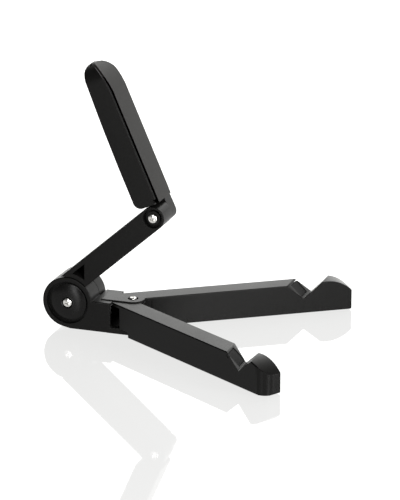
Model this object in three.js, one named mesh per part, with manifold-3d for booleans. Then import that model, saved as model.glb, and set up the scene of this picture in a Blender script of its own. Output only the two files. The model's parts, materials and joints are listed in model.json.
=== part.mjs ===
// Fold-up tablet stand: a base with two swinging legs, an arm on a hub and a paddle on a knuckle.
// Millimetres, +X towards the tablet, +Y to the left, +Z up, table at z = 0.

import * as THREE from 'three';
import { mergeVertices } from 'three/addons/utils/BufferGeometryUtils.js';
import Module from 'manifold-3d';

const wasm = await Module();
wasm.setup();

// ---- driving sizes ----

const STAND_WIDTH = 24;            // hub, arm and paddle, side to side
const WALL = 1.9;                  // moulded shell thickness
const EDGE = 0.6;                  // rounding of the long outer edges
const SEAT_GAP = 0.3;              // between pieces that touch
const LAP_GAP = 0.35;              // between knuckles that turn past each other
const SWEEP_GAP = 0.6;             // around a knuckle inside its socket

const HUB_RADIUS = 15.3;
const HUB_HEIGHT = 16.1;           // the hub's axis above the table
const HUB_EAR_WIDTH = 13.2;        // the base's half of the hub
const HUB_DISH_RADIUS = 12.8;
const HUB_DISH_DEPTH = 2.8;
const HUB_CAP_RADIUS = 11.1;
const HUB_CAP_EDGE = 1;            // height of the cap's edge above its back
const HUB_CAP_RISE = 1.6;          // of its dome above that edge

const BASE_FRONT = 26.3;           // front wall, ahead of the hub's axis
const BASE_HEIGHT = 18.4;
const BASE_HEEL = 1.5;             // the flat underside begins ahead of the hub's axis
const BASE_LIFT = 0.3;             // the plastic underside stands off the table on its foot
const FLOOR_THICKNESS = 3.4;
const TONGUE_TOP = 18.9;
const TONGUE_THICKNESS = 1.6;
const TONGUE_RADIUS = 6.8;
const BASE_FOOT_WIDTH = 15;

const ARM_LENGTH = 76.95;          // from the hub's axis to the knuckle's
const ARM_DEPTH = 13.7;
const ARM_OFFSET = 0.55;           // the arm's front edge, above a line through the hub's axis
const KNUCKLE_WIDTH = 13.7;        // the arm's half of the upper knuckle
const KNUCKLE_DISH_RADIUS = 5.7;
const KNUCKLE_DISH_DEPTH = 3.2;
const KNUCKLE_BOSS_RADIUS = 4.1;
const KNUCKLE_BOSS_HEIGHT = 2;     // above the dish's floor
const ARM_COVER_THICKNESS = 1.5;

const PADDLE_LENGTH = 94.2;        // from the knuckle's axis to the tip
const PADDLE_BOTTOM = 7.2;
const PADDLE_FRONT = 6.2;          // front rim, ahead of the knuckle's axis
const PADDLE_BACK_LOW = 7.85;
const PADDLE_BACK_HIGH = 6.1;
const PADDLE_BACK_BOW = 8.05;      // control height of the back's curve, half way
const PADDLE_TIP_BEND = 5.5;       // the back turns in at this distance from the tip
const PADDLE_TIP_END = 2;          // the farthest point lies this far behind the axis
const PADDLE_TIP_ROUND = 11;
const PADDLE_HEEL_ROUND = 4.5;
const PADDLE_RIM = 1.3;
const GROOVE = 1;                  // dark line round the paddle's front cover
const COVER_PROUD = 0.75;
const COVER_THICKNESS = 2.2;
const COVER_SEAM = 2.3;            // the cover wraps the tip this far behind the knuckle's axis
const EAR_RADIUS = 6.7;
const EAR_FRONT = 5.3;

const LEG_PIVOT = 36.25;           // ahead of the hub's axis
const LEG_LENGTH = 132.8;          // from the pivot to the tip
const LEG_TOP = 18.2;
const LEG_BOTTOM = 0.5;
const LEG_INNER = 0.3;             // the inner face, off the stand's middle plane
const LEG_PROUD = 0.8;             // a closed leg's outer face, beyond the hub's side
const LEG_TIP_ROUND = 7.6;
const LEG_WALL_START = 3.5;        // the outer wall begins ahead of the pivot
const LEG_STEP_END = 11.5;         // the wall's lower edge is raised over the floor up to here
const LUG_RADIUS = 7;
const LUG_SPLIT = 11.3;            // height where one leg's lug gives way to the other's
const HOOK_RADIUS = 21;
const HOOK_RISE = 0.7;             // the hook's crown above the leg
const HOOK_CROWN_FROM_TIP = 15.3;
const NOTCH_FROM_TIP = 30;         // notch bottom, along the leg's inner edge
const NOTCH_DEPTH = 8.6;
const LEG_RIB_COUNT = 3;
const LEG_RIB = 1.4;
const FOOT_PAD = 0.5;              // how far a foot is sunk in its seat

const SCREW_RADIUS = 1.45;
const SCREW_HEAD_RADIUS = 2.7;
const SCREW_HEAD_HEIGHT = 1.5;
const NUT_FLATS = 5.5;
const NUT_HEIGHT = 2.4;
const THIN_NUT_HEIGHT = 1.5;
const WASHER_THICKNESS = 0.6;
const HUB_WASHER_RADIUS = 8.8;
const KNUCKLE_WASHER_RADIUS = 4.9;
const LUG_WASHER_RADIUS = 5.4;
const COVER_SCREW_RADIUS = 1;
const COVER_SCREW_HEAD = 1.9;

// Angles at rest, in degrees: the stand open, holding a tablet.
const ARM_ANGLE = 41.4;            // above the table
const PADDLE_ANGLE = 72.1;         // back from the arm's line
const LEFT_LEG_ANGLE = 33.5;       // out from straight ahead, against its stop
const RIGHT_LEG_ANGLE = 32.2;      // a little short of its stop
const LEG_STOP_ANGLE = 33.5;

// ---- sizes that follow ----

const HALF = STAND_WIDTH / 2;
const FAR = 2 * STAND_WIDTH;       // long enough for a cut to pass right through
const HUB_SPLIT = HUB_EAR_WIDTH - HALF;
const KNUCKLE_SPLIT = KNUCKLE_WIDTH - HALF;
const ARM_BARREL_RADIUS = HUB_RADIUS - 0.2;
const HUB_CLEAR = HUB_RADIUS + SWEEP_GAP;
const ARM_BACK = ARM_OFFSET + ARM_DEPTH;
const ARM_MIDDLE = ARM_OFFSET + ARM_DEPTH / 2;
const EAR_CLEAR = ARM_DEPTH / 2 + LAP_GAP;
const FLOOR_TOP = BASE_LIFT + FLOOR_THICKNESS;
const TONGUE_BOTTOM = TONGUE_TOP - TONGUE_THICKNESS;
const PIVOT_TO_WALL = LEG_PIVOT - BASE_FRONT;
const LEG_OUTER = HALF + LEG_PROUD;
const HINGE_ROOM = LEG_OUTER - WALL + 0.4;   // open space about the pivot, inside a leg
const HOOK_CROWN = LEG_LENGTH - HOOK_CROWN_FROM_TIP;
const LEG_OPEN = THREE.MathUtils.degToRad(LEG_STOP_ANGLE);
// Notch bottom straight ahead of the pivot, with the legs open.
const NOTCH_REACH = (LEG_LENGTH - NOTCH_FROM_TIP) * Math.cos(LEG_OPEN);
const SCREW_HOLE = SCREW_RADIUS + SEAT_GAP;
const NUT_POCKET = NUT_FLATS / 2 + SEAT_GAP;
const WASHER_POCKET = WASHER_THICKNESS + 2 * SEAT_GAP - LAP_GAP;

const rad = THREE.MathUtils.degToRad;

// ---- looks ----

const BLACK_PLASTIC = { color: 0x1d1d1c, roughness: 0.5, metalness: 0 };
const COVER_PLASTIC = { color: 0x232321, roughness: 0.55, metalness: 0 };
const RUBBER = { color: 0x161616, roughness: 0.85, metalness: 0 };
const NYLON = { color: 0xcfcabd, roughness: 0.5, metalness: 0 };
const NICKEL = { color: 0xc9c9c6, roughness: 0.25, metalness: 1 };

// ---- shape helpers ----

// A closed solid from any closed three.js geometry.
function solid(geometry) {
  const bare = geometry.clone();
  bare.deleteAttribute('normal');
  bare.deleteAttribute('uv');
  const merged = mergeVertices(bare, 1e-4);
  return new wasm.Manifold(new wasm.Mesh({
    numProp: 3,
    vertProperties: new Float32Array(merged.attributes.position.array),
    triVerts: new Uint32Array(merged.index.array),
  }));
}

// A named mesh from a solid.
function piece(name, body, look) {
  const data = body.getMesh();
  const geometry = new THREE.BufferGeometry();
  geometry.setAttribute('position', new THREE.Float32BufferAttribute(data.vertProperties, 3));
  geometry.setIndex(new THREE.Uint32BufferAttribute(data.triVerts, 1));
  geometry.computeVertexNormals();
  const mesh = new THREE.Mesh(geometry, new THREE.MeshStandardMaterial(look));
  mesh.name = name;
  return mesh;
}

// An outline through corners [x, y, rounding].
function outline(corners) {
  const shape = new THREE.Shape();
  const count = corners.length;
  corners.forEach(([x, y, radius = 0], index) => {
    const here = new THREE.Vector2(x, y);
    const [px, py] = corners[(index + count - 1) % count];
    const [nx, ny] = corners[(index + 1) % count];
    const back = new THREE.Vector2(px, py).sub(here).normalize();
    const ahead = new THREE.Vector2(nx, ny).sub(here).normalize();
    const half = Math.acos(THREE.MathUtils.clamp(back.dot(ahead), -1, 1)) / 2;
    const reach = radius / Math.tan(half);
    const enter = here.clone().addScaledVector(back, reach);
    const leave = here.clone().addScaledVector(ahead, reach);
    if (index === 0) shape.moveTo(enter.x, enter.y);
    else shape.lineTo(enter.x, enter.y);
    if (radius > 0) {
      const middle = back.clone().add(ahead).normalize();
      const centre = here.clone().addScaledVector(middle, radius / Math.sin(half));
      const from = enter.clone().sub(centre).angle();
      const to = leave.clone().sub(centre).angle();
      shape.absarc(centre.x, centre.y, radius, from, to, back.cross(ahead) > 0);
    }
  });
  shape.closePath();
  return shape;
}

// A plan outline raised from one height to another, with its end edges rounded by `edge`.
function upright(shape, bottom, top, edge = 0, segments = 10) {
  const geometry = new THREE.ExtrudeGeometry(shape, {
    depth: top - bottom - 2 * edge,
    bevelEnabled: edge > 0,
    bevelSize: edge,
    bevelThickness: edge,
    bevelOffset: -edge,
    bevelSegments: 2,
    curveSegments: segments,
  });
  geometry.translate(0, 0, bottom + edge);
  return solid(geometry);
}

// A side profile, drawn as x and z, carried across from one y to another.
function crosswise(shape, right, left, edge = 0, segments = 10) {
  return upright(shape, -left, -right, edge, segments).rotate([90, 0, 0]);
}

// A round bar along z, or across when turned by the caller.
function post(radius, bottom, top, segments = 28) {
  const geometry = new THREE.CylinderGeometry(radius, radius, top - bottom, segments);
  geometry.rotateX(Math.PI / 2);
  geometry.translate(0, 0, (bottom + top) / 2);
  return solid(geometry);
}

// A round bar across the stand, from one y to another, about a point in the side view.
function axle(radius, right, left, x = 0, z = 0, segments = 28) {
  return post(radius, -left, -right, segments).rotate([90, 0, 0]).translate([x, 0, z]);
}

function block(from, to) {
  const size = to.map((value, index) => value - from[index]);
  const geometry = new THREE.BoxGeometry(...size);
  geometry.translate(...from.map((value, index) => value + size[index] / 2));
  return solid(geometry);
}

function ring(outer, inner, bottom, top, segments = 28) {
  return post(outer, bottom, top, segments).subtract(post(inner, bottom - 1, top + 1, 20));
}

function hexagon(flats, bottom, top) {
  return post(flats / Math.sqrt(3), bottom, top, 6);
}

// ---- fasteners, built along z with the head on top ----

// A pan-head screw whose head rests at z = 0 and whose thread runs down to -length.
function screw(length, radius = SCREW_RADIUS, head = SCREW_HEAD_RADIUS) {
  const tall = SCREW_HEAD_HEIGHT * head / SCREW_HEAD_RADIUS;
  const profile = [
    new THREE.Vector2(0, -length),
    new THREE.Vector2(radius * 0.75, -length),
    new THREE.Vector2(radius, -length + radius * 0.4),
    new THREE.Vector2(radius, 0),
    new THREE.Vector2(head, 0),
    new THREE.Vector2(head, tall * 0.45),
    new THREE.Vector2(head * 0.85, tall * 0.8),
    new THREE.Vector2(head * 0.55, tall * 0.96),
    new THREE.Vector2(0, tall),
  ];
  const turned = new THREE.LatheGeometry(profile, 16);
  turned.rotateX(Math.PI / 2);
  const slot = head * 0.22;
  const cross = head * 0.55;
  const recess = block([-cross, -slot / 2, tall * 0.35], [cross, slot / 2, tall * 2]);
  return solid(turned).subtract(recess).subtract(recess.rotate([0, 0, 90]));
}

function nut(height) {
  return hexagon(NUT_FLATS, 0, height).subtract(post(SCREW_HOLE, -1, height + 1, 20));
}

// A spring washer with the cut in its side.
function springWasher() {
  const gap = block([0, -0.35, -1], [NUT_FLATS, 0.35, WASHER_THICKNESS + 1]);
  return ring(NUT_FLATS / 2, SCREW_HOLE, 0, WASHER_THICKNESS).subtract(gap);
}

// Where a nut and its spring washer sit, measured across from the middle plane.
const NUT_OUTSIDE = HALF - 0.7;
const NUT_INSIDE = NUT_OUTSIDE - NUT_HEIGHT;
const SPRING_INSIDE = NUT_INSIDE - SEAT_GAP - WASHER_THICKNESS;
const NUT_SEAT = SPRING_INSIDE - SEAT_GAP;

// The hexagonal pocket and screw hole through the left knuckle of a cross joint.
function nutPocket() {
  const hex = hexagon(2 * NUT_POCKET, NUT_SEAT, FAR);
  return hex.add(post(SCREW_HOLE, -FAR, NUT_SEAT + 1, 24)).rotate([-90, 0, 0]);
}

// The three pieces that clamp a cross joint, lying across the stand.
function crossJoint(prefix, headSeat) {
  const length = NUT_OUTSIDE + 0.4 - headSeat;
  const bolt = screw(length).rotate([90, 0, 0]).translate([0, headSeat, 0]);
  const lock = nut(NUT_HEIGHT).rotate([-90, 0, 0]).translate([0, NUT_INSIDE, 0]);
  const spring = springWasher().rotate([-90, 0, 0]).translate([0, SPRING_INSIDE, 0]);
  return [
    piece(`${prefix}_screw`, bolt, NICKEL),
    piece(`${prefix}_nut`, lock, NICKEL),
    piece(`${prefix}_spring_washer`, spring, NICKEL),
  ];
}

// The friction washer between two knuckles, let into the left one.
function frictionWasher(name, radius, split) {
  const start = split + SEAT_GAP;
  const flat = ring(radius, SCREW_HOLE, 0, WASHER_THICKNESS).rotate([-90, 0, 0]);
  return piece(name, flat.translate([0, start, 0]), NYLON);
}

// ---- base ----

// The hub's circle with the base's block running forward from it.
function baseSide() {
  const shape = new THREE.Shape();
  const low = BASE_LIFT - HUB_HEIGHT;
  const high = BASE_HEIGHT - HUB_HEIGHT;
  shape.moveTo(BASE_HEEL, low);
  shape.lineTo(BASE_FRONT, low);
  shape.lineTo(BASE_FRONT, high);
  shape.lineTo(HUB_RADIUS * Math.cos(Math.asin(high / HUB_RADIUS)), high);
  shape.absarc(0, 0, HUB_RADIUS, Math.asin(high / HUB_RADIUS), rad(252), false);
  shape.closePath();
  return crosswise(shape, -HALF, HALF, EDGE, 24).translate([0, 0, HUB_HEIGHT]);
}

// The floor that runs under the legs' hinge.
function hingeFloor() {
  const shape = new THREE.Shape();
  shape.moveTo(BASE_FRONT - 2, -HALF);
  shape.lineTo(LEG_PIVOT, -HALF);
  shape.absarc(LEG_PIVOT, 0, HALF, -Math.PI / 2, Math.PI / 2, false);
  shape.lineTo(BASE_FRONT - 2, HALF);
  shape.closePath();
  return upright(shape, BASE_LIFT, FLOOR_TOP, 0.4, 12);
}

// The tongue that holds the hinge from above.
function hingeTongue() {
  const shape = new THREE.Shape();
  shape.moveTo(HUB_CLEAR + 3, -TONGUE_RADIUS);
  shape.lineTo(LEG_PIVOT, -TONGUE_RADIUS);
  shape.absarc(LEG_PIVOT, 0, TONGUE_RADIUS, -Math.PI / 2, Math.PI / 2, false);
  shape.lineTo(HUB_CLEAR + 3, TONGUE_RADIUS);
  shape.closePath();
  return upright(shape, TONGUE_BOTTOM, TONGUE_TOP, 0.3, 9);
}

const TONGUE_SCREW_SEAT = TONGUE_TOP - 0.6;
const LEG_NUT_SEAT = BASE_LIFT + THIN_NUT_HEIGHT + SEAT_GAP;

function baseHousing() {
  const hollow = block(
    [HUB_RADIUS + WALL, -HALF + WALL, FLOOR_TOP],
    [BASE_FRONT + 1, HALF - WALL, TONGUE_BOTTOM - 1],
  );
  const armSide = axle(HUB_CLEAR, HUB_SPLIT, FAR, 0, HUB_HEIGHT, 48);
  const underBarrel = block([-FAR, HUB_SPLIT, -1], [HUB_RADIUS * 0.6, FAR, HUB_HEIGHT]);
  const dish = axle(HUB_DISH_RADIUS, -FAR, -HALF + HUB_DISH_DEPTH, 0, HUB_HEIGHT, 48);
  const pin = axle(SCREW_HOLE, -FAR, FAR, 0, HUB_HEIGHT, 24);
  const footSeat = upright(footOutline(SEAT_GAP), -1, BASE_LIFT + FOOT_PAD + SEAT_GAP, 0, 4);
  const legPin = post(SCREW_HOLE, -1, FAR, 24);
  const legHead = post(SCREW_HEAD_RADIUS + SEAT_GAP, TONGUE_SCREW_SEAT - SEAT_GAP, FAR, 32);
  const legNut = hexagon(2 * NUT_POCKET, -1, LEG_NUT_SEAT);
  const hinge = legPin.add(legHead).add(legNut).translate([LEG_PIVOT, 0, 0]);
  return baseSide()
    .subtract(hollow)
    .add(hingeFloor())
    .add(hingeTongue())
    .subtract(armSide)
    .subtract(underBarrel)
    .subtract(dish)
    .subtract(pin)
    .subtract(footSeat)
    .subtract(hinge);
}

// The foot lies across the underside, between the barrel and the front wall.
const FOOT_BACK = HUB_RADIUS * 0.6 + 1.6;
const FOOT_FRONT = BASE_FRONT - 1.6;

function footOutline(grow = 0) {
  const reach = BASE_FOOT_WIDTH / 2 + grow;
  return outline([
    [FOOT_BACK - grow, -reach, 2],
    [FOOT_FRONT + grow, -reach, 2],
    [FOOT_FRONT + grow, reach, 2],
    [FOOT_BACK - grow, reach, 2],
  ]);
}

// The domed disc in the hub's dish, with a well for the screw's head.
const CAP_BACK = -HALF + HUB_DISH_DEPTH - SEAT_GAP;
const HUB_HEAD_SEAT = -HALF + 0.9;

function hubCap() {
  const well = SCREW_HEAD_RADIUS + 0.5;
  const profile = [new THREE.Vector2(SCREW_HOLE, 0), new THREE.Vector2(HUB_CAP_RADIUS, 0)];
  const steps = 5;
  for (let step = 0; step <= steps; step += 1) {
    const radius = HUB_CAP_RADIUS + (well - HUB_CAP_RADIUS) * (step / steps) ** 1.6;
    const rise = 1 - (radius / HUB_CAP_RADIUS) ** 4;
    profile.push(new THREE.Vector2(radius, HUB_CAP_EDGE + HUB_CAP_RISE * rise));
  }
  const wellFloor = HUB_DISH_DEPTH - SEAT_GAP - (HUB_HEAD_SEAT + HALF) - SEAT_GAP;
  profile.push(new THREE.Vector2(well, wellFloor));
  profile.push(new THREE.Vector2(SCREW_HOLE, wellFloor));
  profile.push(profile[0].clone());
  const turned = new THREE.LatheGeometry(profile, 40);
  turned.rotateX(Math.PI / 2);
  return solid(turned).rotate([90, 0, 0]).translate([0, CAP_BACK, HUB_HEIGHT]);
}

// Heights of the hinge's stack, from the floor up to the tongue.
const LOW_LUG_BOTTOM = FLOOR_TOP + SEAT_GAP;
const LOW_LUG_TOP = LUG_SPLIT - LAP_GAP / 2;
const HIGH_LUG_BOTTOM = LUG_SPLIT + LAP_GAP / 2;
const HIGH_LUG_TOP = TONGUE_BOTTOM - SEAT_GAP;

function lugWasher(name, bottom) {
  const flat = ring(LUG_WASHER_RADIUS, SCREW_HOLE, bottom, bottom + WASHER_THICKNESS);
  return piece(name, flat.translate([LEG_PIVOT, 0, 0]), NYLON);
}

function buildBase() {
  const group = new THREE.Group();
  const legScrewLength = TONGUE_SCREW_SEAT - BASE_LIFT - 0.2;
  const legScrew = screw(legScrewLength).translate([LEG_PIVOT, 0, TONGUE_SCREW_SEAT]);
  const legNut = nut(THIN_NUT_HEIGHT).translate([LEG_PIVOT, 0, BASE_LIFT]);
  group.add(
    piece('base_housing', baseHousing(), BLACK_PLASTIC),
    piece('base_foot', upright(footOutline(), 0, BASE_LIFT + FOOT_PAD, 0, 4), RUBBER),
    piece('hub_cap', hubCap(), BLACK_PLASTIC),
    piece('leg_screw', legScrew, NICKEL),
    piece('leg_nut', legNut, NICKEL),
    lugWasher('leg_washer_bottom', FLOOR_TOP + SEAT_GAP),
    lugWasher('leg_washer_middle', LOW_LUG_TOP + SEAT_GAP),
    lugWasher('leg_washer_top', TONGUE_BOTTOM - SEAT_GAP - WASHER_THICKNESS),
  );
  return group;
}

// ---- arm, drawn lying along +X from the hub's axis ----

function armSide() {
  const shape = new THREE.Shape();
  shape.moveTo(0, ARM_OFFSET);
  shape.lineTo(ARM_LENGTH, ARM_OFFSET);
  shape.absarc(ARM_LENGTH, ARM_MIDDLE, ARM_DEPTH / 2, -Math.PI / 2, Math.PI / 2, false);
  shape.lineTo(0, ARM_BACK);
  shape.closePath();
  return crosswise(shape, -HALF, HALF, EDGE, 9);
}

// The three-sided pocket beside the hub, between its arched wall and the arm's back.
function armPocket() {
  const arch = HUB_CLEAR + 2.4;
  const top = ARM_BACK - 2.9;
  const foot = ARM_OFFSET + 3.4;
  const shape = new THREE.Shape();
  const high = Math.asin(top / arch);
  const low = Math.asin(foot / arch);
  shape.moveTo(arch * Math.cos(high), top);
  shape.absarc(0, 0, arch, high, low, true);
  shape.lineTo(arch + 6.2, top);
  shape.closePath();
  return crosswise(shape, -FAR, 0, 0, 12);
}

// The arm's hollow opens on its left side and is closed by a cover.
const ARM_HOLLOW_START = HUB_RADIUS + 14;
const ARM_HOLLOW_END = ARM_LENGTH - EAR_CLEAR - WALL;

function armHollow(grow) {
  return outline([
    [ARM_HOLLOW_START - grow, ARM_OFFSET + WALL + 1 - grow, 1.5],
    [ARM_HOLLOW_END + grow, ARM_OFFSET + WALL + 1 - grow, 1.5],
    [ARM_HOLLOW_END + grow, ARM_BACK - WALL - 1 + grow, 1.5],
    [ARM_HOLLOW_START - grow, ARM_BACK - WALL - 1 + grow, 1.5],
  ]);
}

const COVER_LEDGE = 1;
const ARM_COVER_INSIDE = HALF - ARM_COVER_THICKNESS;
const ARM_SCREW_PLACES = [ARM_HOLLOW_START + 4.5, ARM_HOLLOW_END - 4.5];

// Posts inside the arm that take the cover's screws.
function armPosts() {
  return ARM_SCREW_PLACES.map((x) => axle(2.6, -HALF + 1, ARM_COVER_INSIDE - SEAT_GAP, x, ARM_MIDDLE));
}

function armScrewHoles() {
  const start = ARM_COVER_INSIDE - 9;
  return ARM_SCREW_PLACES.map((x) => axle(COVER_SCREW_RADIUS + SEAT_GAP, start, FAR, x, ARM_MIDDLE, 20));
}

function joinAll(first, others) {
  return others.reduce((sum, next) => sum.add(next), first);
}

function cutAll(first, others) {
  return others.reduce((rest, next) => rest.subtract(next), first);
}

function armBody() {
  const barrelShape = new THREE.Shape();
  barrelShape.absarc(0, 0, ARM_BARREL_RADIUS, 0, 2 * Math.PI, false);
  const barrel = crosswise(barrelShape, HUB_SPLIT + LAP_GAP, HALF, EDGE, 24);
  const baseSideRoom = axle(HUB_CLEAR, -FAR, HUB_SPLIT + LAP_GAP, 0, 0, 48);
  const hollow = crosswise(armHollow(0), -HALF + WALL, FAR, 0, 4);
  const rebate = crosswise(armHollow(COVER_LEDGE), ARM_COVER_INSIDE - SEAT_GAP, FAR, 0, 4);
  const earRoom = axle(EAR_CLEAR, KNUCKLE_SPLIT, FAR, ARM_LENGTH, ARM_MIDDLE, 36);
  const dishFloor = -HALF + KNUCKLE_DISH_DEPTH;
  const dish = axle(KNUCKLE_DISH_RADIUS, -FAR, dishFloor, ARM_LENGTH, ARM_MIDDLE, 32).subtract(
    axle(KNUCKLE_BOSS_RADIUS, dishFloor - KNUCKLE_BOSS_HEIGHT, FAR, ARM_LENGTH, ARM_MIDDLE, 28),
  );
  const knucklePin = axle(SCREW_HOLE, -FAR, FAR, ARM_LENGTH, ARM_MIDDLE, 24);
  const washerRoom = axle(HUB_WASHER_RADIUS + SEAT_GAP, -FAR, HUB_SPLIT + LAP_GAP + WASHER_POCKET, 0, 0, 40);
  const shell = armSide()
    .subtract(baseSideRoom)
    .add(barrel)
    .subtract(hollow)
    .subtract(rebate)
    .subtract(armPocket());
  const fitted = joinAll(shell, armPosts()).subtract(earRoom).subtract(dish).subtract(knucklePin);
  return cutAll(fitted, armScrewHoles()).subtract(washerRoom).subtract(nutPocket());
}

function armCover() {
  const seat = -SEAT_GAP + COVER_LEDGE;
  const plate = crosswise(armHollow(seat), ARM_COVER_INSIDE, HALF, 0, 4);
  const heads = ARM_SCREW_PLACES.map((x) => (
    axle(COVER_SCREW_HEAD + SEAT_GAP, HALF - 0.9, FAR, x, ARM_MIDDLE, 24)
  ));
  return cutAll(cutAll(plate, armScrewHoles()), heads);
}

function coverScrew(length) {
  return screw(length, COVER_SCREW_RADIUS, COVER_SCREW_HEAD);
}

function buildArm() {
  const group = new THREE.Group();
  group.add(piece('arm_body', armBody(), BLACK_PLASTIC));
  group.add(piece('arm_cover', armCover(), COVER_PLASTIC));
  ARM_SCREW_PLACES.forEach((x, index) => {
    const bolt = coverScrew(8).rotate([-90, 0, 0]);
    const placed = bolt.translate([x, HALF - 0.9 + SEAT_GAP, ARM_MIDDLE]);
    group.add(piece(`arm_cover_screw_${index + 1}`, placed, NICKEL));
  });
  group.add(...crossJoint('hub', HUB_HEAD_SEAT));
  group.add(frictionWasher('hub_friction_washer', HUB_WASHER_RADIUS, HUB_SPLIT));
  return group;
}

// ---- paddle, drawn lying along +X from the knuckle's axis with its back up ----

// The side view, pushed outwards at the front by `proud`.
function paddleSide(proud = 0) {
  const front = -PADDLE_FRONT - proud;
  const shape = new THREE.Shape();
  const heel = PADDLE_BOTTOM + PADDLE_HEEL_ROUND;
  const bend = PADDLE_LENGTH - PADDLE_TIP_BEND;
  shape.moveTo(PADDLE_BOTTOM, front);
  shape.lineTo(PADDLE_LENGTH - 18.5, front);
  shape.quadraticCurveTo(PADDLE_LENGTH - 3.6, front + 1, PADDLE_LENGTH + proud * 0.7, PADDLE_TIP_END);
  shape.quadraticCurveTo(PADDLE_LENGTH + proud * 0.7, PADDLE_BACK_HIGH, bend, PADDLE_BACK_HIGH);
  shape.quadraticCurveTo((bend + heel) / 2, PADDLE_BACK_BOW, heel, PADDLE_BACK_LOW);
  shape.absarc(heel, PADDLE_BACK_LOW - PADDLE_HEEL_ROUND, PADDLE_HEEL_ROUND, Math.PI / 2, Math.PI, false);
  shape.closePath();
  return shape;
}

// The front view, drawn in by `inset`.
function paddleFace(inset, start) {
  const side = HALF - inset;
  const round = PADDLE_TIP_ROUND - inset;
  return outline([
    [start, -side],
    [PADDLE_LENGTH - inset, -side, round],
    [PADDLE_LENGTH - inset, side, round],
    [start, side],
  ]);
}

const COVER_INSET = PADDLE_RIM + GROOVE;
const PADDLE_SCREW_PLACES = [PADDLE_BOTTOM + 16, PADDLE_LENGTH - 26];

// Depth of the tray, parallel to the back.
function paddleTrayRoom() {
  const back = PADDLE_BACK_HIGH - WALL;
  return outline([
    [PADDLE_BOTTOM + WALL, -FAR],
    [PADDLE_LENGTH - 2 * WALL, -FAR],
    [PADDLE_LENGTH - 2 * WALL, PADDLE_TIP_END - 1],
    [PADDLE_LENGTH - 9, back, 4],
    [PADDLE_BOTTOM + PADDLE_HEEL_ROUND, PADDLE_BACK_LOW - WALL, 2],
    [PADDLE_BOTTOM + WALL, PADDLE_BACK_LOW - PADDLE_HEEL_ROUND, 1],
  ]);
}

function paddleShell() {
  const start = -EAR_RADIUS - 1;
  const body = crosswise(paddleSide(), -HALF, HALF, EDGE, 7).intersect(
    upright(paddleFace(0, start), -FAR, FAR, 0, 6),
  );
  const tray = crosswise(paddleTrayRoom(), -FAR, FAR, 0, 4).intersect(
    upright(paddleFace(PADDLE_RIM, PADDLE_BOTTOM + WALL), -FAR, FAR, 0, 5),
  ).add(coverRoom());
  const earStart = KNUCKLE_SPLIT + LAP_GAP;
  const earDisc = new THREE.Shape();
  earDisc.absarc(0, 0, EAR_RADIUS, 0, 2 * Math.PI, false);
  const earTrim = crosswise(outline([
    [-EAR_RADIUS - 0.2, -EAR_FRONT, 5],
    [FAR, -EAR_FRONT],
    [FAR, FAR],
    [-EAR_RADIUS - 0.2, FAR],
  ]), -FAR, FAR, 0, 6);
  const ear = crosswise(earDisc, earStart, HALF, 0.4, 16).intersect(earTrim);
  const neck = crosswise(outline([
    [0, -EAR_FRONT],
    [PADDLE_BOTTOM + WALL + 0.5, -EAR_FRONT],
    [PADDLE_BOTTOM + WALL + 0.5, 1.4],
    [0, 1.4],
  ]), earStart, HALF, 0.4);
  const coverLip = block(
    [PADDLE_BOTTOM, -FAR, -FAR],
    [PADDLE_BOTTOM + WALL + 1, FAR, -PADDLE_FRONT - COVER_PROUD + COVER_THICKNESS + SEAT_GAP],
  );
  const washerRoom = axle(KNUCKLE_WASHER_RADIUS + SEAT_GAP, -FAR, earStart + WASHER_POCKET);
  const earParts = ear.add(neck);
  const posts = PADDLE_SCREW_PLACES.map((x) => (
    post(COVER_SCREW_HEAD + 1.3, paddleBackAt(x) - 3.4, paddleBackAt(x) - 0.5).translate([x, 0, 0])
  ));
  const holes = PADDLE_SCREW_PLACES.map((x) => (
    post(COVER_SCREW_HEAD + SEAT_GAP, paddleBackAt(x) - 1.6, FAR, 24)
      .add(post(COVER_SCREW_RADIUS + SEAT_GAP, -FAR, FAR, 20))
      .translate([x, 0, 0])
  ));
  const shell = joinAll(body.subtract(tray), posts).add(earParts).subtract(coverLip);
  return cutAll(shell, holes).subtract(washerRoom).subtract(nutPocket());
}

// Height of the paddle's curved back above the knuckle's axis, at a distance along it.
function paddleBackAt(x) {
  const low = PADDLE_BOTTOM + PADDLE_HEEL_ROUND;
  const high = PADDLE_LENGTH - PADDLE_TIP_BEND;
  const down = (high - x) / (high - low);
  const up = 1 - down;
  return up * up * PADDLE_BACK_HIGH + 2 * up * down * PADDLE_BACK_BOW + down * down * PADDLE_BACK_LOW;
}

// The cover's front view: it keeps inside the rim at the sides and reaches the end at the tip.
function coverFace(grow) {
  const side = HALF - COVER_INSET + grow;
  const start = PADDLE_BOTTOM + SEAT_GAP - grow;
  const bend = PADDLE_LENGTH - PADDLE_TIP_ROUND;
  const shape = new THREE.Shape();
  shape.moveTo(start, -side);
  shape.lineTo(bend, -side);
  shape.absellipse(bend, 0, PADDLE_TIP_ROUND - 0.1 + grow, side, -Math.PI / 2, Math.PI / 2, false);
  shape.lineTo(start, side);
  shape.closePath();
  return upright(shape, -FAR, FAR, 0, 8);
}

// Everything in front of the cover's inner face, down to a plane behind the axis.
function coverLayer(thickness, seam) {
  const inner = crosswise(paddleSide(COVER_PROUD), -FAR, FAR, 0, 7);
  const front = block([-FAR, -FAR, -FAR], [2 * PADDLE_LENGTH, FAR, seam]);
  return front.subtract(inner.translate([-thickness, 0, thickness]));
}

// The room that the cover and its groove take from the shell.
function coverRoom() {
  return coverLayer(COVER_THICKNESS + SEAT_GAP, COVER_SEAM + SEAT_GAP).intersect(coverFace(GROOVE));
}

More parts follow.
